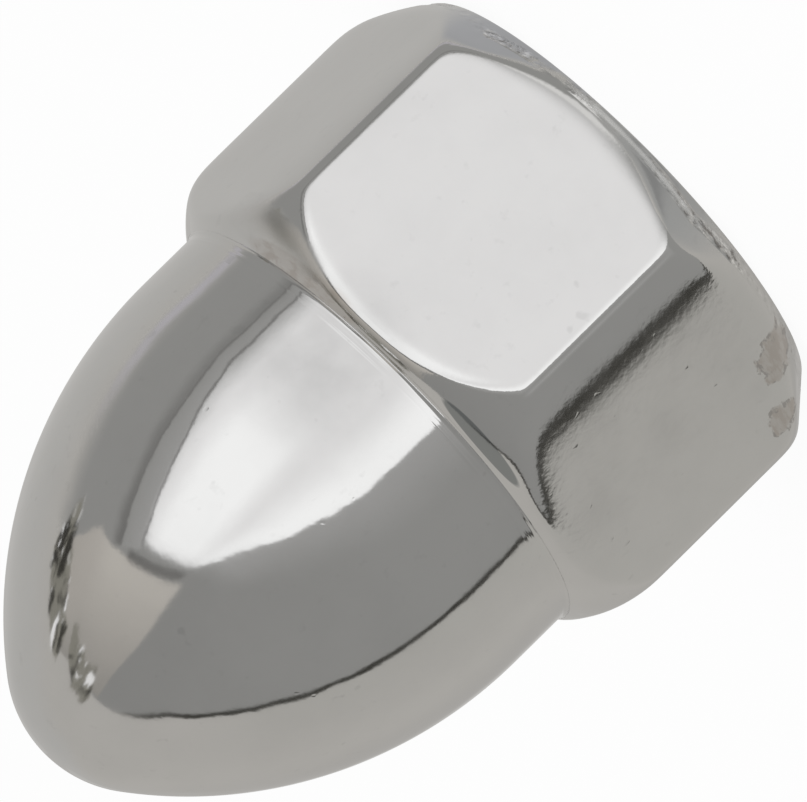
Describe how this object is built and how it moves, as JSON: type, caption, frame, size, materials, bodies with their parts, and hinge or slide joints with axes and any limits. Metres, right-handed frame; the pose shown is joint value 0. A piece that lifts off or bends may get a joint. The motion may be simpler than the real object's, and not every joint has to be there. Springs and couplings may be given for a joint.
{
  "type": "cap nut",
  "caption": "Tall chrome-plated cap nut: a hexagon with softly rounded edges under a long bullet-shaped dome that closes over a blind threaded hole.",
  "frame": {"origin": "centre of the flat bearing face, on the thread axis", "axes": "+Z along the thread axis from the bearing face to the tip of the dome; +X square to one flat of the hexagon"},
  "size_m": [0.0126, 0.0144, 0.0184],
  "materials": {
    "chrome_plate": "bright decorative chrome over polished steel, with small plating pits"
  },
  "bodies": {
    "root": {"cap_nut": "chrome_plate"}
  },
  "joints": []
}
